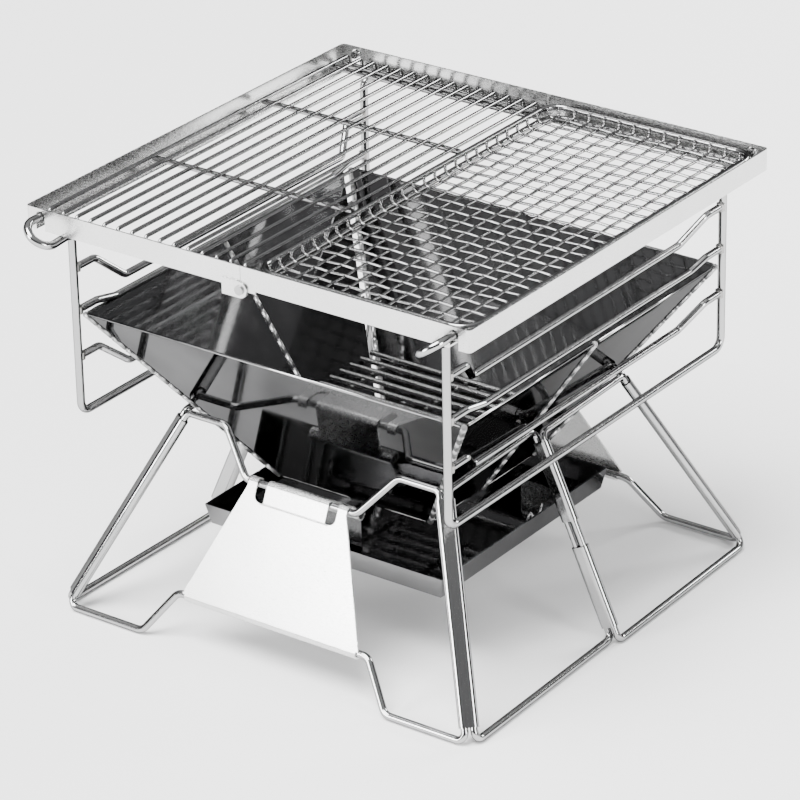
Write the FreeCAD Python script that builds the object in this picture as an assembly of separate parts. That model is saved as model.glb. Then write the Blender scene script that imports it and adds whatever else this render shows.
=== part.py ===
import FreeCAD, Part
import math
import os

os.makedirs("parts", exist_ok=True)
V = FreeCAD.Vector

# ---- folding leg stand -------------------------------------------------
leg_wire = 2.5            # radius of the leg wire
leg_apex = 376.0          # height where all leg lines would meet
leg_foot = 2.5            # height of the wire centre on the ground
leg_top = 139.0           # height of the top bars
foot_x = 168.0            # half width between the foot corners
foot_y = 166.0            # half depth between the foot corners
corner_shift = 4.3        # each corner wire sits this far back from the corner line
open_shift = 9.4          # the same for the corner that is modelled as open
mid_shift = 3.0           # the two middle wires lie either side of the side plane
raised_bar = 32.0         # height of the low bar that carries the end plate
raised_half = 78.0        # half width of that bar
step_half = 100.0         # where the frame comes down to the ground beside it
dip_bar = 111.0           # height of the dip in the top bar
dip_half = 45.0
dip_shoulder = 70.0       # where the top bar starts down into the dip
foot_bend = 5.0           # bend radii
soft_bend = 8.0
loop_gap = 0.05           # the two ends of a closed wire loop stand this far apart
fit = 0.08                # clearance of a wire in its sleeve
sleeve_wall = 1.0
corner_sleeve = (10.5, 134.0)     # lower and upper end of each sleeve
upper_sleeve = (80.0, 131.5)
lower_sleeve = (10.0, 63.0)

# ---- end plates --------------------------------------------------------
sheet = 1.2
plate_clear = 0.2         # gap between the plate and the wire it is folded round
plate_offset = leg_wire + plate_clear + sheet / 2
plate_top_half = 40.0
plate_bottom_half = 72.0
plate_top = 112.5
plate_edge = 108.5        # flat part of the plate ends here and the folds begin
plate_bottom = 33.0
tongue_half = 25.0
tongue_root = 3.0         # the folded strips overlap the flat plate by this much
slot_outer_half = 33.0
slot_bottom = 100.0
slot_round = 5.0          # radius of the outer lower corners of the slots
crease_radius = 0.7       # pressed line where the tongue leaves the plate
hem_run = 6.0
hem_lap = 6.0
hem_inset = 2.0
roll_half = 34.0          # half length of the rolled end of the tongue
roll_y = 97.5
roll_z = 98.5
strip_bend = plate_offset - 0.05

# ---- ash tray ----------------------------------------------------------
tray_half = 97.5
tray_rim = 69.0
tray_bottom = 54.0
tray_sheet = 1.0
tray_taper = 3.0
hanger_half = 30.0
hanger_top = 97.0
hanger_inset = 3.5        # from the inner face of the tray rim

# ---- fire pan ----------------------------------------------------------
pan_apex = -4.6
pan_rim = 215.0
pan_bottom = 85.0
pan_rim_x = 152.0
pan_rim_y = 147.0
pan_sheet = 1.0
pin_radius = 1.6
pin_gap = 0.6
open_gap = 6.0

# ---- charcoal grate ----------------------------------------------------
coal_z = 120.0
coal_half_x = 80.0
coal_half_y = 70.0
coal_wire = 2.0
coal_rods = 13
cross_at = (-62.0, 0.0, 62.0)

# ---- hanging racks -----------------------------------------------------
rack_wire = 2.75
rung_wire = 2.5
post_x = 148.0
post_y = 159.7
rack_bottom = 149.0
rack_bend = 8.0
rung_run = 21.0           # straight part of a rung before its kink
rung_kink = 19.0
rung_bend = 6.0
rung_sink = 0.4           # a rung ends this deep in the post it is welded to
neck_bend = 5.0           # bends of the wire between the hooks and the posts
back_bend = 4.0
# height of the ends, height of the middle and half distance of each rung pair
rungs = ((252.9, 236.0, 138.6), (222.5, 218.7, 147.5), (189.6, 174.0, 138.6))
hook_x = 154.7            # where the plane of the hook crosses the wall
hook_z = 284.8
hook_tilt = 35.0          # the hook leans outward and up
hook_low = -12.0          # run under the rail, measured in the leaning plane
hook_high = 10.0          # run through the hole in the rail
front_reach = 19.0        # how far the hooks stand out in front and behind
back_reach = 7.0
hook_tail = 4.0           # the wire ends this far inside the wall

# ---- top frame ---------------------------------------------------------
top_half_x = 175.0
top_half_y = 172.5
rail_bottom = 281.0
rail_top = 296.0
ledge = 12.0              # width of the inner ledge that carries the grates
rail_corner = 3.0
seam = 0.3                # gap between the two halves
pivot_z = 280.0
ear_radius = 5.5
ear_run = 14.0            # length of the ear on the left half
ear_foot = 8.0            # the ear is joined to the rail beyond this distance
ear_gap = 0.2
lobe_run = 11.5           # length of the lobe on the right half
lobe_step = 0.8
rivet_radius = 1.8
rivet_head = 3.2
rivet_tail = 3.0
rivet_cap = 1.2           # thickness of the head and of the tail
rivet_play = 0.1
slot_half = 3.6           # half width of the hook slots

# ---- grates ------------------------------------------------------------
bar_radius = 2.0
bar_first = -164.6
bar_pitch = 11.4
bar_count = 15
bar_z = 292.0
bar_low = 284.3
bar_front = -162.0
bar_back = 165.0
bar_cross = (-50.0, 70.0, 148.0)
bar_bend = 3.0
bar_overhang = 1.0
mesh_radius = 1.0
mesh_bend = 2.0
mesh_play = 0.15
mesh_tip = 1.0            # the wire ends stand this far above the upper rim
mesh_sag = 1.6            # the lower wires lie this far above the lower rim
mesh_pitch = 12.0
mesh_inner = 6.5
mesh_outer = 169.0
mesh_half_y = 165.0
mesh_corner = 14.0
mesh_low = 284.3
mesh_high = 292.3
rim_radius = 2.0


# The hooks reach further out in front than behind, so the middle of the
# outline lies this far in front of the middle of the stand.
centre_shift = (front_reach - back_reach) / 2


def save(shape, name):
    shape.translated(V(0, centre_shift, 0)).exportStep("parts/" + name + ".step")


def unit(vector):
    return vector * (1.0 / vector.Length)


def mirror_x(shape):
    return shape.mirror(V(0, 0, 0), V(1, 0, 0))


def mirror_y(shape):
    return shape.mirror(V(0, 0, 0), V(0, 1, 0))


def both(function, shape):
    return Part.makeCompound([shape, function(shape)])


def bent_path(points, bends):
    """Straight runs joined by tangent arcs at the inner points."""
    edges = []
    last = points[0]
    for index in range(1, len(points) - 1):
        corner = points[index]
        radius = bends[index - 1] if isinstance(bends, (list, tuple)) else bends
        back = unit(points[index - 1] - corner)
        ahead = unit(points[index + 1] - corner)
        turn = math.pi - back.getAngle(ahead)
        setback = radius * math.tan(turn / 2)
        start = corner + back * setback
        end = corner + ahead * setback
        inward = unit(back + ahead)
        middle = corner + inward * (radius / math.cos(turn / 2) - radius)
        edges.append(Part.makeLine(last, start))
        edges.append(Part.Arc(start, middle, end).toShape())
        last = end
    edges.append(Part.makeLine(last, points[-1]))
    return Part.Wire(edges)


def wire(points, radius, bends):
    """Round wire swept along a bent path."""
    path = bent_path(points, bends)
    direction = unit(points[1] - points[0])
    ring = Part.Wire([Part.makeCircle(radius, points[0], direction)])
    return path.makePipeShell([ring], True, False)


def rod(start, end, radius):
    return Part.makeCylinder(radius, (end - start).Length, start, unit(end - start))


def ribbon(points, thickness, half_width, bends):
    """Flat strip of even width, its path in a plane across X."""
    path = bent_path(points, bends)
    along = unit(points[1] - points[0])
    across = V(1, 0, 0)
    normal = along.cross(across)
    start = points[0]
    corners = [start + across * a + normal * b for a, b in (
        (-half_width, -thickness / 2), (half_width, -thickness / 2),
        (half_width, thickness / 2), (-half_width, thickness / 2))]
    profile = Part.makePolygon(corners + [corners[0]])
    return path.makePipeShell([profile], True, False)


def sleeve(start, end, partner, radius):
    """Flattened tube closed round two parallel wires."""
    axis = unit(end - start)
    offset = partner - start
    offset = offset - axis * offset.dot(axis)
    side = unit(offset)
    normal = axis.cross(side)
    other = start + offset

    def outline(size):
        return Part.Wire([
            Part.Arc(start + normal * size, start - side * size, start - normal * size).toShape(),
            Part.makeLine(start - normal * size, other - normal * size),
            Part.Arc(other - normal * size, other + side * size, other + normal * size).toShape(),
            Part.makeLine(other + normal * size, start + normal * size)])

    outer = Part.Face(outline(radius + fit + sleeve_wall))
    inner = Part.Face(outline(radius + fit))
    length = axis * (end - start).Length
    return outer.extrude(length).cut(inner.extrude(length))


# ---- stand -------------------------------------------------------------
def side_x(z):
    return foot_x * (leg_apex - z) / (leg_apex - leg_foot)


def side_y(z):
    return foot_y * (leg_apex - z) / (leg_apex - leg_foot)


def front_point(x, z):
    return V(x, -side_y(z), z)


def front_corner(z):
    return front_point(side_x(z) - corner_shift, z)


def end_frame():
    half = [front_point(raised_half, raised_bar), front_point(step_half, leg_foot),
            front_corner(leg_foot), front_corner(leg_top),
            front_point(dip_shoulder, leg_top), front_point(dip_half, dip_bar)]
    other = [V(-p.x, p.y, p.z) for p in reversed(half)]
    start = front_point(0.0, raised_bar)
    end = front_point(-loop_gap, raised_bar)
    bends = [soft_bend, soft_bend, foot_bend, foot_bend, soft_bend, soft_bend]
    return wire([start] + half + other + [end], leg_wire, bends + bends[::-1])


def corner_wire(z, shift):
    return V(side_x(z), -side_y(z) + shift, z)


def mid_wire(z, shift):
    return V(side_x(z) + shift, 0, z)


def half_frame(corner, mid):
    middle = (corner_sleeve[0] + corner_sleeve[1]) / 2
    start = corner_wire(middle, corner)
    end = corner_wire(middle + loop_gap, corner)
    points = [start, corner_wire(leg_foot, corner), mid_wire(leg_foot, mid),
              mid_wire(leg_top, mid), corner_wire(leg_top, corner), end]
    return wire(points, leg_wire, foot_bend)


def front_sleeve():
    low, high = corner_sleeve
    return sleeve(front_corner(low), front_corner(high), corner_wire(low, corner_shift), leg_wire)


def open_sleeve():
    """Tube round the end frame wire only, at the corner left open."""
    low, high = corner_sleeve
    start = front_corner(low)
    end = front_corner(high)
    outer = rod(start, end, leg_wire + fit + sleeve_wall)
    return outer.cut(rod(start, end, leg_wire + fit))


def mid_sleeves():
    tubes = []
    for low, high in (upper_sleeve, lower_sleeve):
        tubes.append(sleeve(mid_wire(low, -mid_shift), mid_wire(high, -mid_shift),
                            mid_wire(low, mid_shift), leg_wire))
    return Part.makeCompound(tubes)


# ---- end plate ---------------------------------------------------------
slope = foot_y / (leg_apex - leg_foot)
plane_up = unit(V(0, slope, 1))
plane_out = unit(V(0, -1, slope))


def plate_point(x, z, offset):
    return front_point(x, z) + plane_out * offset


def plate_slot():
    """Opening in the top edge with its two lower corners rounded."""
    depth = plane_out * (2 * plate_offset)
    rounded = slot_bottom + slot_round * plane_up.z
    inner_half = slot_outer_half - slot_round
    shapes = []
    for half, low in ((slot_outer_half, rounded), (inner_half, slot_bottom)):
        corners = [plate_point(x, z, 0) for x, z in
                   ((-half, low), (half, low), (half, plate_top), (-half, plate_top))]
        shapes.append(Part.Face(Part.makePolygon(corners + [corners[0]])).extrude(depth))
    for x in (-inner_half, inner_half):
        shapes.append(Part.makeCylinder(slot_round, depth.Length, plate_point(x, rounded, 0), plane_out))
    return shapes[0].multiFuse(shapes[1:])


def end_plate():
    inner_face = plate_offset - sheet / 2
    outline = [(-plate_bottom_half, plate_bottom), (plate_bottom_half, plate_bottom),
               (plate_top_half, plate_edge), (-plate_top_half, plate_edge)]
    corners = [plate_point(x, z, inner_face) for x, z in outline]
    plate = Part.Face(Part.makePolygon(corners + [corners[0]])).extrude(plane_out * sheet)
    plate = plate.cut(plate_slot())

    # tongue over the top wire, running inward to a rolled end
    bar = front_point(0, dip_bar)
    roll = V(0, -roll_y, roll_z)
    inward = unit(roll - bar)
    above = V(1, 0, 0).cross(inward)
    if above.z < 0:
        above = above * -1
    turn = plane_up.getAngle(inward)
    knee = bar + unit(plane_out + above) * (plate_offset / math.cos(turn / 2))
    root = plate_point(0, slot_bottom - tongue_root, plate_offset)
    tongue = ribbon([root, knee, roll + above * plate_offset], sheet, tongue_half, strip_bend)
    roll_start = roll - V(roll_half, 0, 0)
    across = V(1, 0, 0)
    rolled = Part.makeCylinder(plate_offset + sheet / 2, 2 * roll_half, roll_start, across)
    rolled = rolled.cut(Part.makeCylinder(plate_offset - sheet / 2, 2 * roll_half, roll_start, across))
    shapes = [plate, tongue, rolled]

    # short hems either side of the slot
    hem_half = (plate_top_half - slot_outer_half) / 2
    hem_root = plate_point(0, plate_edge - hem_lap, plate_offset)
    hem = ribbon([hem_root, knee, knee + inward * hem_run], sheet, hem_half, strip_bend)
    for side in (-1, 1):
        shapes.append(hem.translated(V(side * (slot_outer_half + hem_half), 0, 0)))

    # bottom edge turned round the raised bar
    low = front_point(0, raised_bar)
    under = plane_up * -plate_offset
    bottom = ribbon([plate_point(0, plate_bottom + hem_lap, plate_offset),
                     low + plane_out * plate_offset + under,
                     low - plane_out * plate_offset + under,
                     low - plane_out * plate_offset + plane_up * hem_inset],
                    sheet, plate_bottom_half - hem_inset, strip_bend)
    shapes.append(bottom)

    # pressed line from slot to slot at the root of the tongue
    crease_start = plate_point(-slot_outer_half + slot_round, slot_bottom, plate_offset + sheet / 2)
    crease = Part.makeCylinder(crease_radius, 2 * (slot_outer_half - slot_round), crease_start, across)
    return shapes[0].multiFuse(shapes[1:]).cut(crease)


# ---- ash tray ----------------------------------------------------------
def square_loop(half, z):
    points = [V(-half, -half, z), V(half, -half, z), V(half, half, z), V(-half, half, z)]
    return Part.makePolygon(points + [points[0]])


def ash_tray():
    low_half = tray_half - tray_taper
    outer = Part.makeLoft([square_loop(low_half, tray_bottom), square_loop(tray_half, tray_rim)], True)
    inner = Part.makeLoft([square_loop(low_half - tray_sheet, tray_bottom + tray_sheet),
                           square_loop(tray_half - tray_sheet, tray_rim)], True)
    return outer.cut(inner)


def tray_hanger():
    y = -tray_half + tray_sheet + hanger_inset
    foot = tray_bottom + tray_sheet
    return Part.makeBox(2 * hanger_half, tray_sheet, hanger_top - foot, V(-hanger_half, y, foot))


# ---- fire pan ----------------------------------------------------------
def pan_x(z):
    return pan_rim_x * (z - pan_apex) / (pan_rim - pan_apex)


def pan_y(z):
    return pan_rim_y * (z - pan_apex) / (pan_rim - pan_apex)


def trimmed_panel(corners, inset_left, inset_right):
    """Flat panel from four corners (bottom left, bottom right, top right, top left)."""
    bottom_left, bottom_right, top_right, top_left = corners
    normal = unit((bottom_right - bottom_left).cross(top_left - bottom_left))
    left = unit(top_left - bottom_left)
    right = unit(top_right - bottom_right)
    along = unit(bottom_right - bottom_left)
    step_left = along * (inset_left / math.sin(left.getAngle(along)))
    step_right = along * (inset_right / math.sin(right.getAngle(along)))
    outline = [bottom_left + step_left, bottom_right - step_right,
               top_right - step_right, top_left + step_left]
    face = Part.Face(Part.makePolygon(outline + [outline[0]]))
    face.translate(normal * (-pan_sheet / 2))
    return face.extrude(normal * pan_sheet)


def pan_corner(z, sx, sy):
    return V(sx * pan_x(z), sy * pan_y(z), z)


def end_panel(sy):
    corners = [pan_corner(pan_bottom, -1, sy), pan_corner(pan_bottom, 1, sy),
               pan_corner(pan_rim, 1, sy), pan_corner(pan_rim, -1, sy)]
    return trimmed_panel(corners, pin_radius, pin_radius)


def side_panel(sx, sy, corner_inset, mid_inset):
    corners = [pan_corner(pan_bottom, sx, sy), pan_corner(pan_bottom, sx, 0),
               pan_corner(pan_rim, sx, 0), pan_corner(pan_rim, sx, sy)]
    return trimmed_panel(corners, corner_inset, mid_inset)


def pan_pin(sx, sy):
    return rod(pan_corner(pan_bottom, sx, sy), pan_corner(pan_rim, sx, sy), pin_radius)


# ---- charcoal grate ----------------------------------------------------
def coal_long_rods():
    rods = []
    pitch = 2 * coal_half_y / (coal_rods - 1)
    for index in range(coal_rods):
        y = -coal_half_y + index * pitch
        rods.append(rod(V(-coal_half_x, y, coal_z), V(coal_half_x, y, coal_z), coal_wire))
    return Part.makeCompound(rods)


def coal_cross_rods():
    z = coal_z - 2 * coal_wire
    rods = [rod(V(x, -coal_half_y, z), V(x, coal_half_y, z), coal_wire) for x in cross_at]
    return Part.makeCompound(rods)


# ---- racks (right hand one, the left is its mirror) --------------------
def hook_point(out, up):
    tilt = math.radians(hook_tilt)
    return V(hook_x + up * math.cos(tilt), -top_half_y - out, hook_z + up * math.sin(tilt))


def rack_end(reach):
    """From the post, out under the rail, round, and back in through the hole."""
    under = hook_point(reach, hook_low)
    return [hook_point(-hook_tail, hook_high), hook_point(reach, hook_high), under,
            V(post_x, -post_y, under.z), V(post_x, -post_y, rack_bottom)]


def rack_frame():
    front = rack_end(front_reach)
    back = [V(p.x, -p.y, p.z) for p in reversed(rack_end(back_reach))]
    loop_radius = (hook_high - hook_low) / 2 - 0.05
    bends = [loop_radius, loop_radius, neck_bend, rack_bend, rack_bend, neck_bend, back_bend, back_bend]
    return wire(front + back, rack_wire, bends)


def rack_rungs():
    shapes = []
    for outer_z, main_z, main_x in rungs:
        end = post_y - rack_wire + rung_sink
        half = [V(post_x, -end, outer_z), V(post_x, -post_y + rung_run, outer_z),
                V(main_x, -post_y + rung_run + rung_kink, main_z)]
        other = [V(p.x, -p.y, p.z) for p in reversed(half)]
        shapes.append(wire(half + other, rung_wire, rung_bend))
    return Part.makeCompound(shapes)


# ---- top frame ---------------------------------------------------------
def box(x0, x1, y0, y1, z0, z1):
    return Part.makeBox(x1 - x0, y1 - y0, z1 - z0, V(x0, y0, z0))


def rail_shell():
    """Three sided rail open towards the seam, with an inner ledge."""
    shell = box(seam / 2, top_half_x, -top_half_y, top_half_y, rail_bottom, rail_top)
    upright = [edge for edge in shell.Edges
               if edge.CenterOfMass.x > top_half_x - 1 and edge.BoundBox.YLength < 1]
    shell = shell.makeFillet(rail_corner, upright)
    inner_x = top_half_x - sheet
    inner_y = top_half_y - sheet
    shell = shell.cut(box(-1, inner_x, -inner_y, inner_y, rail_bottom + sheet, rail_top + 1))
    return shell.cut(box(-1, top_half_x - ledge, -top_half_y + ledge, top_half_y - ledge,
                         rail_bottom - 1, rail_top))


def hook_slots():
    reach = ledge + 2.0
    hole = hook_point(1.0, hook_high)
    front = Part.makeCylinder(slot_half, reach, hole, V(0, 1, 0))
    front = front.fuse(box(hole.x - slot_half, hole.x + slot_half, hole.y, hole.y + reach,
                           rail_bottom - 2, hole.z))
    return front.fuse(mirror_y(front))


def pivot_disc(radius, y0, y1):
    return Part.makeCylinder(radius, y1 - y0, V(0, y0, pivot_z), V(0, 1, 0))


def right_rail():
    wall_out = -top_half_y
    wall_in = wall_out + sheet
    lobe = pivot_disc(ear_radius, wall_out, wall_in)
    lobe = lobe.fuse(box(seam / 2, lobe_run, wall_out, wall_in, pivot_z - lobe_step, rail_bottom + 1))
    rail = rail_shell().cut(hook_slots())
    rail = rail.multiFuse([lobe, mirror_y(lobe)])
    hole = pivot_disc(rivet_radius + fit / 2, wall_out - 1, wall_in + 1)
    tail_room = pivot_disc(rivet_tail + 0.5, wall_in, wall_in + 3.0)
    hole = hole.fuse(tail_room)
    return rail.cut(hole.fuse(mirror_y(hole)))


def left_rail():
    clearance = pivot_disc(ear_radius + 0.5, -top_half_y - 1, -top_half_y + ledge + 1)
    rail = mirror_x(rail_shell().cut(hook_slots()))
    rail = rail.cut(clearance.fuse(mirror_y(clearance)))
    outer = -top_half_y - ear_gap
    ear = pivot_disc(ear_radius, outer - sheet, outer)
    ear = ear.fuse(box(-ear_run, 0, outer - sheet, outer, pivot_z - ear_radius, pivot_z + ear_radius))
    ear = ear.cut(pivot_disc(rivet_radius + fit, outer - sheet - 1, outer + 1))
    foot = box(-ear_run, -ear_foot, outer, -top_half_y, rail_bottom, pivot_z + ear_radius)
    ear = ear.fuse(foot)
    return rail.multiFuse([ear, mirror_y(ear)])


def hinge_rivets():
    head_y = -top_half_y - ear_gap - sheet - rivet_play
    tail_y = -top_half_y + sheet + rivet_play
    shank = pivot_disc(rivet_radius, head_y, tail_y)
    head = pivot_disc(rivet_head, head_y - rivet_cap, head_y)
    tail = pivot_disc(rivet_tail, tail_y, tail_y + rivet_cap)
    return both(mirror_y, shank.multiFuse([head, tail]))


# ---- grates ------------------------------------------------------------
def bar_grate_bars():
    bars = []
    for index in range(bar_count):
        x = bar_first + index * bar_pitch
        points = [V(x, bar_front, bar_low + rim_radius), V(x, bar_front, bar_z),
                  V(x, bar_back, bar_z), V(x, bar_back, bar_low + rim_radius)]
        bars.append(wire(points, bar_radius, bar_bend))
    return Part.makeCompound(bars)


def bar_grate_rims():
    x0 = bar_first - bar_radius - bar_overhang
    x1 = bar_first + (bar_count - 1) * bar_pitch + bar_radius
    wires = [rod(V(x0, y, bar_low), V(x1, y, bar_low), rim_radius) for y in (bar_front, bar_back)]
    z = bar_z - bar_radius - rim_radius
    wires += [rod(V(x0, y, z), V(x1, y, z), rim_radius) for y in bar_cross]
    return Part.makeCompound(wires)


def mesh_rim(z):
    r = mesh_corner
    x0, x1, y0 = mesh_inner, mesh_outer, mesh_half_y
    start = V(x0, 0, z)
    points = [start, V(x0, -y0, z), V(x1, -y0, z), V(x1, y0, z), V(x0, y0, z),
              start + V(0, loop_gap, 0)]
    return wire(points, rim_radius, r)


def mesh_rims():
    return Part.makeCompound([mesh_rim(mesh_low), mesh_rim(mesh_high)])


def mesh_inset(distance):
    """How far the rounded corner pulls a wire end back from the straight rim."""
    if distance >= mesh_corner:
        return 0.0
    return mesh_corner - math.sqrt(mesh_corner ** 2 - (mesh_corner - distance) ** 2)


def mesh_wires(along_y):
    shapes = []
    edge = rim_radius + mesh_radius + mesh_play
    width = mesh_outer - mesh_inner
    span = width if along_y else 2 * mesh_half_y
    count = int(span // mesh_pitch)
    margin = (span - (count - 1) * mesh_pitch) / 2
    tip = mesh_high + mesh_tip
    z = mesh_low + mesh_sag + (0.0 if along_y else 2 * mesh_radius)
    for index in range(count):
        distance = margin + index * mesh_pitch
        inset = edge + mesh_inset(min(distance, span - distance))
        if along_y:
            x = mesh_inner + distance
            y = mesh_half_y - inset
            points = [V(x, -y, tip), V(x, -y, z), V(x, y, z), V(x, y, tip)]
        else:
            y = -mesh_half_y + distance
            x0 = mesh_inner + inset
            x1 = mesh_outer - inset
            points = [V(x0, y, tip), V(x0, y, z), V(x1, y, z), V(x1, y, tip)]
        shapes.append(wire(points, mesh_radius, mesh_bend))
    return Part.makeCompound(shapes)


# ---- write every node --------------------------------------------------
frame_loop = end_frame()
save(frame_loop, "front_leg_frame")
save(mirror_y(frame_loop), "back_leg_frame")
plate_shape = end_plate()
save(plate_shape, "front_plate")
save(mirror_y(plate_shape), "back_plate")
corner_tube = front_sleeve()
save(corner_tube, "right_front_sleeve")
save(mirror_x(corner_tube), "left_front_sleeve")
save(mirror_y(corner_tube), "right_back_sleeve")
save(mirror_x(mirror_y(open_sleeve())), "left_back_sleeve")
front_half = half_frame(corner_shift, -mid_shift)
back_half = mirror_y(half_frame(corner_shift, mid_shift))
save(front_half, "right_front_leg")
save(back_half, "right_back_leg")
save(mirror_x(front_half), "left_front_leg")
save(mirror_x(mirror_y(half_frame(open_shift, mid_shift))), "left_back_leg")
save(mid_sleeves(), "right_mid_sleeves")
save(mirror_x(mid_sleeves()), "left_mid_sleeves")

save(ash_tray(), "ash_tray")
save(both(mirror_y, tray_hanger()), "ash_tray_hangers")

save(end_panel(-1), "pan_front_panel")
save(end_panel(1), "pan_back_panel")
tight = pin_radius + pin_gap
save(side_panel(1, -1, tight, pin_radius), "pan_right_front_panel")
save(side_panel(1, 1, tight, tight), "pan_right_back_panel")
save(side_panel(-1, -1, tight, pin_radius), "pan_left_front_panel")
save(side_panel(-1, 1, pin_radius + open_gap, tight), "pan_left_back_panel")
save(Part.makeCompound([pan_pin(-1, -1), pan_pin(1, -1)]), "pan_front_pins")
save(Part.makeCompound([pan_pin(-1, 1), pan_pin(1, 1)]), "pan_back_pins")
save(pan_pin(1, 0), "pan_right_mid_pin")
save(pan_pin(-1, 0), "pan_left_mid_pin")

save(coal_long_rods(), "charcoal_rods")
save(coal_cross_rods(), "charcoal_cross_rods")

right_frame = rack_frame()
save(right_frame, "right_rack_frame")
save(mirror_x(right_frame), "left_rack_frame")
right_rungs = rack_rungs()
save(right_rungs, "right_rack_rungs")
save(mirror_x(right_rungs), "left_rack_rungs")

save(right_rail(), "top_right_rail")
save(left_rail(), "top_left_rail")
save(hinge_rivets(), "hinge_rivets")
save(bar_grate_bars(), "bar_grate_bars")
save(bar_grate_rims(), "bar_grate_rims")
save(mesh_rims(), "mesh_grate_rims")
save(mesh_wires(True), "mesh_wires_lengthwise")
save(mesh_wires(False), "mesh_wires_crosswise")
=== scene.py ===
import bpy
import math
from mathutils import Matrix, Vector


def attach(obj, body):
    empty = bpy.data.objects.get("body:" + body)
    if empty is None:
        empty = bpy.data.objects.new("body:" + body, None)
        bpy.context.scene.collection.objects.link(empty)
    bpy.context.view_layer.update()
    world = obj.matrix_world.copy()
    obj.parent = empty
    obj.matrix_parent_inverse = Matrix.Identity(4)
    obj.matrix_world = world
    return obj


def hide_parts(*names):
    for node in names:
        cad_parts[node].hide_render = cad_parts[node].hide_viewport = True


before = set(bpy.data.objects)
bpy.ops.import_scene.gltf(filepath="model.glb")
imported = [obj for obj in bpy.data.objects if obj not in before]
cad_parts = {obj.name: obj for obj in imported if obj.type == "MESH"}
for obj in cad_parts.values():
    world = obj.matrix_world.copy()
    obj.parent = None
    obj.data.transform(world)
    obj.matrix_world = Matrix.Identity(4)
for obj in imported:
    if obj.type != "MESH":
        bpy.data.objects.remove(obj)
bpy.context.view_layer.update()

# ---- sizes, in metres, in the CAD frame --------------------------------
MIDDLE_Y = 0.006                  # middle of the stand, pan and top frame

# mesh grate
MESH_X = (0.0065, 0.169)          # centre lines of the rim
MESH_Y = 0.165
MESH_CORNER = 0.014               # radius of the rim's corners
MESH_RIM = 0.0020                 # radius of the rim wire
MESH_WIRE = 0.0010
MESH_PITCH = 0.012
MESH_LEVEL = 0.2870               # middle of the weave
MESH_TIP = 0.2933                 # the wire ends are turned up to here
MESH_CRIMP = 0.2                  # share of the wire radius
MESH_TURN = (0.0008, 0.003)       # size of the bend where a wire turns up
MESH_END = (0.003, 0.002)         # straight run left before the first and after the last crimp
CRIMP_STEPS = 6                   # points on the wire from one crossing to the next

# bar grate
BAR_FIRST = -0.1646
BAR_PITCH = 0.0114
BAR_COUNT = 15
BAR_FRONT = -0.162
BAR_BACK = 0.165
BAR_FOOT = 0.2863                 # the bars are turned down to here
BAR_LEVEL = 0.29135
BAR_BEND = 0.003
BAR_WIRE = 0.00135
BEND_STEPS = 5

# fire pan: a pyramid cut off at the bottom
PAN_APEX = -0.0046
PAN_RIM = 0.215
PAN_BOTTOM = 0.085
PAN_RIM_X = 0.152
PAN_RIM_Y = 0.147
KNUCKLE = 0.0020                  # outer radius of the split tubes on the hinge pins
KNUCKLE_COUNT = 14
KNUCKLE_GAP = 0.06                # left free at each end of a tube, as a share of its pitch
PAN_BEAD = 0.0009                 # radius of the rounded panel edges

# hanging racks
POST_X = 0.148
POST_Y = 0.1597
RUNG_END = 0.0027                 # the rungs meet the posts this far inside the post centres
RUNG_HEIGHTS = (0.2529, 0.2225, 0.1896)
RACK_WELD = 0.0029

# charcoal grate
COAL_REST = 0.118                 # where the rods lie on the cross rods
COAL_Y = 0.070
COAL_RODS = 13
COAL_CROSS = (-0.062, 0.0, 0.062)
COAL_WELD = 0.0013


# ---- materials ---------------------------------------------------------
def new_material(name):
    material = bpy.data.materials.new(name)
    material.use_nodes = True
    tree = material.node_tree
    return material, tree, tree.nodes["Principled BSDF"]


def coordinates(tree, scale):
    texture = tree.nodes.new("ShaderNodeTexCoord")
    mapping = tree.nodes.new("ShaderNodeMapping")
    mapping.inputs["Scale"].default_value = scale
    tree.links.new(texture.outputs["Object"], mapping.inputs["Vector"])
    return mapping.outputs["Vector"]


def noise(tree, vector, scale, detail):
    node = tree.nodes.new("ShaderNodeTexNoise")
    node.inputs["Scale"].default_value = scale
    node.inputs["Detail"].default_value = detail
    tree.links.new(vector, node.inputs["Vector"])
    return node.outputs["Fac"]


def ramp(tree, value, stops):
    node = tree.nodes.new("ShaderNodeValToRGB")
    elements = node.color_ramp.elements
    while len(elements) < len(stops):
        elements.new(0.5)
    for element, (place, shade) in zip(elements, stops):
        element.position = place
        element.color = (*shade, 1.0)
    tree.links.new(value, node.inputs["Fac"])
    return node.outputs["Color"]


def spread(tree, value, low, high):
    """The middle of a noise pattern stretched from low to high."""
    node = tree.nodes.new("ShaderNodeMapRange")
    node.inputs["From Min"].default_value = 0.3
    node.inputs["From Max"].default_value = 0.7
    node.inputs["To Min"].default_value = low
    node.inputs["To Max"].default_value = high
    tree.links.new(value, node.inputs["Value"])
    return node.outputs["Result"]


def bump(tree, shader, height, strength, distance):
    node = tree.nodes.new("ShaderNodeBump")
    node.inputs["Strength"].default_value = strength
    node.inputs["Distance"].default_value = distance
    tree.links.new(height, node.inputs["Height"])
    tree.links.new(node.outputs["Normal"], shader.inputs["Normal"])


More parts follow.
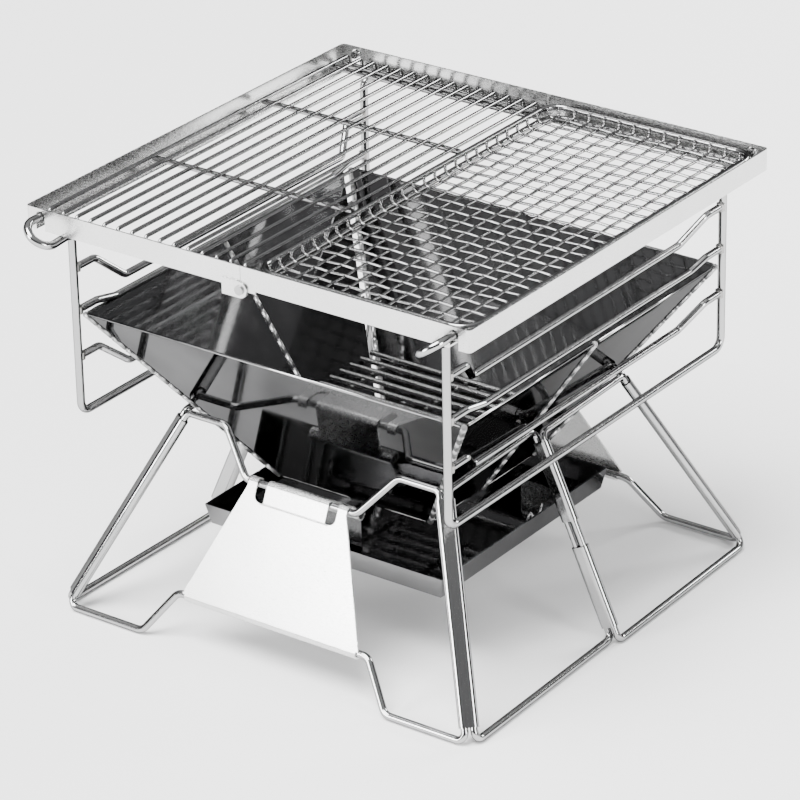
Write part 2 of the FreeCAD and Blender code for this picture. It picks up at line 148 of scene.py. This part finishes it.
def steel(name, tones, rough, grain, wave, stretch=(1.0, 1.0, 1.0), edge=1.0):
    """Stainless steel whose tone, gloss and surface all vary a little.

    tones and rough are the two ends of each variation, grain is the fineness of
    the gloss, and wave is the fineness, strength and depth of the unevenness.
    edge below 1 makes the steel darker where it is seen at a flat angle.
    """
    material, tree, shader = new_material(name)
    shader.inputs["Metallic"].default_value = 1.0
    shader.inputs["Specular Tint"].default_value = (edge, edge, edge, 1.0)
    plain = coordinates(tree, (1.0, 1.0, 1.0))
    fine = coordinates(tree, stretch)
    tone = noise(tree, plain, 14.0, 4.0)
    stops = ((0.3, tones[0]), (0.7, tones[1]))
    tree.links.new(ramp(tree, tone, stops), shader.inputs["Base Color"])
    gloss = noise(tree, fine, grain, 5.0)
    tree.links.new(spread(tree, gloss, *rough), shader.inputs["Roughness"])
    fineness, strength, depth = wave
    bump(tree, shader, noise(tree, fine, fineness, 3.0), strength, depth)
    return material


wire_steel = steel("polished_wire", ((0.36, 0.36, 0.362), (0.43, 0.43, 0.43)), (0.08, 0.17),
                   900.0, (500.0, 0.04, 0.0001), edge=0.0)
grate_steel = steel("grate_wire", ((0.26, 0.26, 0.262), (0.33, 0.33, 0.33)), (0.14, 0.25),
                    900.0, (200.0, 0.02, 0.0001), edge=0.0)
satin_steel = steel("satin_sheet", ((0.62, 0.62, 0.617), (0.70, 0.70, 0.696)), (0.20, 0.32),
                    420.0, (300.0, 0.05, 0.0001), stretch=(1.0, 1.0, 9.0))
mirror_steel = steel("mirror_sheet", ((0.20, 0.20, 0.202), (0.27, 0.27, 0.272)), (0.03, 0.08),
                     60.0, (7.0, 0.10, 0.0006), edge=0.2)
dull_steel = steel("dull_pin", ((0.30, 0.30, 0.30), (0.42, 0.42, 0.42)), (0.28, 0.45),
                   600.0, (500.0, 0.2, 0.0002))
weld_steel = steel("weld_spot", ((0.24, 0.235, 0.225), (0.36, 0.355, 0.345)), (0.25, 0.42),
                   900.0, (900.0, 0.4, 0.0003))

# words in a node's name, and the steel that such a node is made of
NODE_STEELS = ((("plate", "rail"), satin_steel),
               (("panel", "ash_tray"), mirror_steel),
               (("pin", "rivet"), dull_steel),
               (("bar_grate", "mesh_", "charcoal"), grate_steel))


def node_material(name):
    for words, material in NODE_STEELS:
        if any(word in name for word in words):
            return material
    return wire_steel


for name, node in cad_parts.items():
    node.data.materials.clear()
    node.data.materials.append(node_material(name))


# ---- round wires -------------------------------------------------------
def wire_rings(points, radius, sides):
    """Rings of points round a path, turned as little as possible from one to the next."""
    last = len(points) - 1
    rings = []
    normal = None
    for index, point in enumerate(points):
        ahead = points[min(index + 1, last)] - points[max(index - 1, 0)]
        ahead.normalize()
        if normal is None:
            normal = ahead.orthogonal().normalized()
        normal = (normal - ahead * normal.dot(ahead)).normalized()
        side = ahead.cross(normal)
        for step in range(sides):
            angle = 2 * math.pi * step / sides
            rings.append(point + (normal * math.cos(angle) + side * math.sin(angle)) * radius)
    return rings


def tube_mesh(name, paths, radius, sides):
    """One mesh of round wires, each following a list of points and closed at both ends."""
    vertices = []
    faces = []
    for points in paths:
        first = len(vertices)
        last = first + (len(points) - 1) * sides
        vertices += wire_rings(points, radius, sides)
        for here in range(first, last, sides):
            there = here + sides
            for step in range(sides):
                after = (step + 1) % sides
                faces.append((here + step, here + after, there + after, there + step))
        faces.append([first + step for step in range(sides)][::-1])
        faces.append([last + step for step in range(sides)])
    mesh = bpy.data.meshes.new(name)
    mesh.from_pydata([tuple(v) for v in vertices], [], faces)
    mesh.update()
    for polygon in mesh.polygons:
        polygon.use_smooth = len(polygon.vertices) == 4
    piece = bpy.data.objects.new(name, mesh)
    bpy.context.scene.collection.objects.link(piece)
    return piece


def finish_piece(piece, material, body):
    piece.data.materials.append(material)
    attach(piece, body)


# ---- woven mesh of the right hand grate --------------------------------
def corner_inset(distance):
    """How far the rounded corner pulls a wire end back from the straight rim."""
    if distance >= MESH_CORNER:
        return 0.0
    return MESH_CORNER - math.sqrt(MESH_CORNER ** 2 - (MESH_CORNER - distance) ** 2)


def mesh_places(span):
    """Distances of the wires from one rim, evenly spaced and centred between the rims."""
    count = int(span // MESH_PITCH)
    margin = (span - (count - 1) * MESH_PITCH) / 2
    return [margin + index * MESH_PITCH for index in range(count)]


def mesh_path(low, high, place, phase, over):
    """Points of one wire: turned up at both ends and slightly crimped in between.

    place turns a run along the wire and a height into a point, phase is where the
    first crossing lies, and over tells whether the wire passes over it.
    """
    small, large = MESH_TURN
    lead, trail = MESH_END
    turned_up = ((0.0, MESH_TIP), (0.0, MESH_LEVEL + large), (small, MESH_LEVEL + small))
    points = [place(low + run, z) for run, z in turned_up]
    height = MESH_WIRE * MESH_CRIMP * (1 if over else -1)
    run = low + lead
    while run < high - trail:
        wave = math.cos(math.pi * (run - phase) / MESH_PITCH)
        points.append(place(run, MESH_LEVEL + wave * height))
        run += MESH_PITCH / CRIMP_STEPS
    return points + [place(high - run, z) for run, z in reversed(turned_up)]


def woven_mesh():
    width = MESH_X[1] - MESH_X[0]
    depth = 2 * MESH_Y
    columns = mesh_places(width)
    rows = mesh_places(depth)
    edge = MESH_RIM + MESH_WIRE
    paths = []
    for number, distance in enumerate(columns):
        x = MESH_X[0] + distance
        reach = MESH_Y - edge - corner_inset(min(distance, width - distance))
        paths.append(mesh_path(-reach, reach, lambda run, z: Vector((x, run + MIDDLE_Y, z)),
                               -MESH_Y + rows[0], number % 2 == 0))
    for number, distance in enumerate(rows):
        y = -MESH_Y + distance + MIDDLE_Y
        inset = edge + corner_inset(min(distance, depth - distance))
        paths.append(mesh_path(MESH_X[0] + inset, MESH_X[1] - inset,
                               lambda run, z: Vector((run, y, z)),
                               MESH_X[0] + columns[0], number % 2 == 1))
    piece = tube_mesh("woven_mesh", paths, MESH_WIRE, 8)
    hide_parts("mesh_wires_lengthwise", "mesh_wires_crosswise")
    finish_piece(piece, grate_steel, "mesh_grate")


# ---- bars of the left hand grate ---------------------------------------
def bar_end(x, y, inward):
    """From the foot of a bar up and round to its level run."""
    points = [Vector((x, y + MIDDLE_Y, BAR_FOOT)), Vector((x, y + MIDDLE_Y, BAR_LEVEL - BAR_BEND))]
    for step in range(1, BEND_STEPS + 1):
        angle = step * math.pi / (2 * BEND_STEPS)
        run = BAR_BEND * (1 - math.cos(angle))
        drop = BAR_BEND * (1 - math.sin(angle))
        points.append(Vector((x, y + inward * run + MIDDLE_Y, BAR_LEVEL - drop)))
    return points


def thin_bars():
    paths = []
    for index in range(BAR_COUNT):
        x = BAR_FIRST + index * BAR_PITCH
        paths.append(bar_end(x, BAR_FRONT, 1) + bar_end(x, BAR_BACK, -1)[::-1])
    piece = tube_mesh("thin_bars", paths, BAR_WIRE, 12)
    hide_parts("bar_grate_bars")
    finish_piece(piece, grate_steel, "bar_grate")


# ---- pan: knuckles on the hinge pins, beaded rims -----------------------
def pan_point(z, side, end):
    """A point on the pan: side and end are -1, 0 or 1 towards +X and +Y."""
    run = (z - PAN_APEX) / (PAN_RIM - PAN_APEX)
    return Vector((side * PAN_RIM_X * run, end * PAN_RIM_Y * run + MIDDLE_Y, z))


def knuckles(name, side, end, body):
    low = pan_point(PAN_BOTTOM, side, end)
    high = pan_point(PAN_RIM, side, end)
    paths = []
    for index in range(KNUCKLE_COUNT):
        start = (index + KNUCKLE_GAP) / KNUCKLE_COUNT
        stop = (index + 1 - KNUCKLE_GAP) / KNUCKLE_COUNT
        paths.append([low.lerp(high, start), low.lerp(high, stop)])
    finish_piece(tube_mesh(name, paths, KNUCKLE, 12), dull_steel, body)


def pan_bead(name, start, end, cut, body):
    """Rounded edge along a panel, cut short by cut at its two ends."""
    way = (end - start).normalized()
    path = [start + way * cut[0], end - way * cut[1]]
    finish_piece(tube_mesh(name, [path], PAN_BEAD, 10), wire_steel, body)


def pan_details():
    for label, side, end, body in (
            ("front_right", 1, -1, "pan_front"), ("front_left", -1, -1, "pan_front"),
            ("back_right", 1, 1, "pan_back"), ("back_left", -1, 1, "pan_back"),
            ("mid_right", 1, 0, "pan_right_front"), ("mid_left", -1, 0, "pan_left_front")):
        knuckles("pan_knuckles_" + label, side, end, body)
    # the left back panel ends well short of its corner, where the ring of panels is open
    for label, start, end, cut in (
            ("front", (-1, -1), (1, -1), (0.003, 0.003)),
            ("back", (-1, 1), (1, 1), (0.003, 0.003)),
            ("right_front", (1, -1), (1, 0), (0.004, 0.003)),
            ("right_back", (1, 0), (1, 1), (0.004, 0.004)),
            ("left_front", (-1, -1), (-1, 0), (0.004, 0.003)),
            ("left_back", (-1, 0), (-1, 1), (0.004, 0.010))):
        for level, z in (("rim", PAN_RIM), ("foot", PAN_BOTTOM)):
            pan_bead("pan_" + level + "_bead_" + label, pan_point(z, *start), pan_point(z, *end),
                     cut, "pan_" + label)


# ---- weld metal --------------------------------------------------------
def weld_spots(name, places, radius, body):
    """Short upright plugs of weld metal where two wires meet."""
    paths = [[place + Vector((0, 0, step * radius * 0.3)) for step in range(-3, 4)]
             for place in places]
    finish_piece(tube_mesh(name, paths, radius, 10), weld_steel, body)


def welds():
    for side, label in ((1, "right"), (-1, "left")):
        ends = [Vector((side * POST_X, MIDDLE_Y + end * (POST_Y - RUNG_END), z))
                for end in (-1, 1) for z in RUNG_HEIGHTS]
        weld_spots(label + "_rack_welds", ends, RACK_WELD, label + "_rack")
    pitch = 2 * COAL_Y / (COAL_RODS - 1)
    crossings = [Vector((x, MIDDLE_Y - COAL_Y + index * pitch, COAL_REST))
                 for x in COAL_CROSS for index in range(COAL_RODS)]
    weld_spots("charcoal_welds", crossings, COAL_WELD, "charcoal_grate")


# ---- floor, light and camera -------------------------------------------
FLOOR_HALF = 40.0
FLOOR_DROP = 0.0006               # the floor lies just under the feet
LIT_POINT = (0, 0, 0.15)          # what the softboxes point at
CAMERA_ANGLES = (36.27, 25.9, -1.12)              # azimuth, elevation and roll
CAMERA_TARGET = (-0.00468, MIDDLE_Y, 0.13205)
CAMERA_DISTANCE = 2.8543
CAMERA_LENS = 191.5425            # millimetres


def floor():
    mesh = bpy.data.meshes.new("floor")
    size = FLOOR_HALF
    mesh.from_pydata([(-size, -size, 0), (size, -size, 0), (size, size, 0), (-size, size, 0)], [],
                     [(0, 1, 2, 3)])
    piece = bpy.data.objects.new("floor", mesh)
    bpy.context.scene.collection.objects.link(piece)
    material, _, shader = new_material("pale_floor")
    shader.inputs["Base Color"].default_value = (0.93, 0.93, 0.93, 1.0)
    shader.inputs["Roughness"].default_value = 0.9
    piece.data.materials.append(material)
    piece.location.z = -FLOOR_DROP


def studio_world():
    """Soft surrounding light: pale low down, dark a little higher, pale again overhead."""
    world = bpy.data.worlds.new("studio")
    bpy.context.scene.world = world
    world.use_nodes = True
    tree = world.node_tree
    background = tree.nodes["Background"]
    texture = tree.nodes.new("ShaderNodeTexCoord")
    split = tree.nodes.new("ShaderNodeSeparateXYZ")
    tree.links.new(texture.outputs["Generated"], split.inputs["Vector"])
    sky = ramp(tree, split.outputs["Z"], (
        (0.0, (0.55, 0.55, 0.55)), (0.08, (0.30, 0.30, 0.31)), (0.20, (0.05, 0.05, 0.052)),
        (0.50, (0.20, 0.20, 0.205)), (0.80, (0.60, 0.60, 0.60))))
    tree.links.new(sky, background.inputs["Color"])
    background.inputs["Strength"].default_value = 1.0


def look_down(azimuth, elevation):
    """Direction of view from a place with this azimuth, counted from -Y towards +X."""
    return Vector((-math.sin(azimuth) * math.cos(elevation),
                   math.cos(azimuth) * math.cos(elevation), -math.sin(elevation)))


def lamp(name, light, direction):
    piece = bpy.data.objects.new(name, light)
    bpy.context.scene.collection.objects.link(piece)
    piece.rotation_mode = "QUATERNION"
    piece.rotation_quaternion = direction.to_track_quat("-Z", "Y")
    return piece


def softbox(name, place, width, height, power):
    light = bpy.data.lights.new(name, "AREA")
    light.shape = "RECTANGLE"
    light.size = width
    light.size_y = height
    light.energy = power
    lamp(name, light, Vector(LIT_POINT) - Vector(place)).location = place


def sun(azimuth, elevation, strength, spread_angle):
    light = bpy.data.lights.new("sun", "SUN")
    light.energy = strength
    light.angle = math.radians(spread_angle)
    lamp("sun", light, look_down(math.radians(azimuth), math.radians(elevation)))


def camera():
    azimuth, elevation, roll = (math.radians(angle) for angle in CAMERA_ANGLES)
    forward = look_down(azimuth, elevation)
    right = Vector((math.cos(azimuth), math.sin(azimuth), 0))
    up = right.cross(forward)
    across = right * math.cos(roll) + up * math.sin(roll)
    above = up * math.cos(roll) - right * math.sin(roll)
    data = bpy.data.cameras.new("camera")
    data.lens = CAMERA_LENS
    data.clip_end = 200.0
    piece = bpy.data.objects.new("camera", data)
    bpy.context.scene.collection.objects.link(piece)
    place = Vector(CAMERA_TARGET) - forward * CAMERA_DISTANCE
    piece.matrix_world = Matrix((
        (across.x, above.x, -forward.x, place.x),
        (across.y, above.y, -forward.y, place.y),
        (across.z, above.z, -forward.z, place.z),
        (0, 0, 0, 1)))
    bpy.context.scene.camera = piece


woven_mesh()
thin_bars()
pan_details()
welds()
floor()
studio_world()
sun(-20.0, 68.0, 8.5, 40.0)
softbox("key", (-0.9, -2.2, 0.9), 0.9, 0.9, 75.0)
softbox("fill", (2.3, -0.4, 0.8), 0.6, 1.0, 40.0)
softbox("back", (0.8, 2.4, 1.2), 1.2, 0.5, 60.0)
camera()
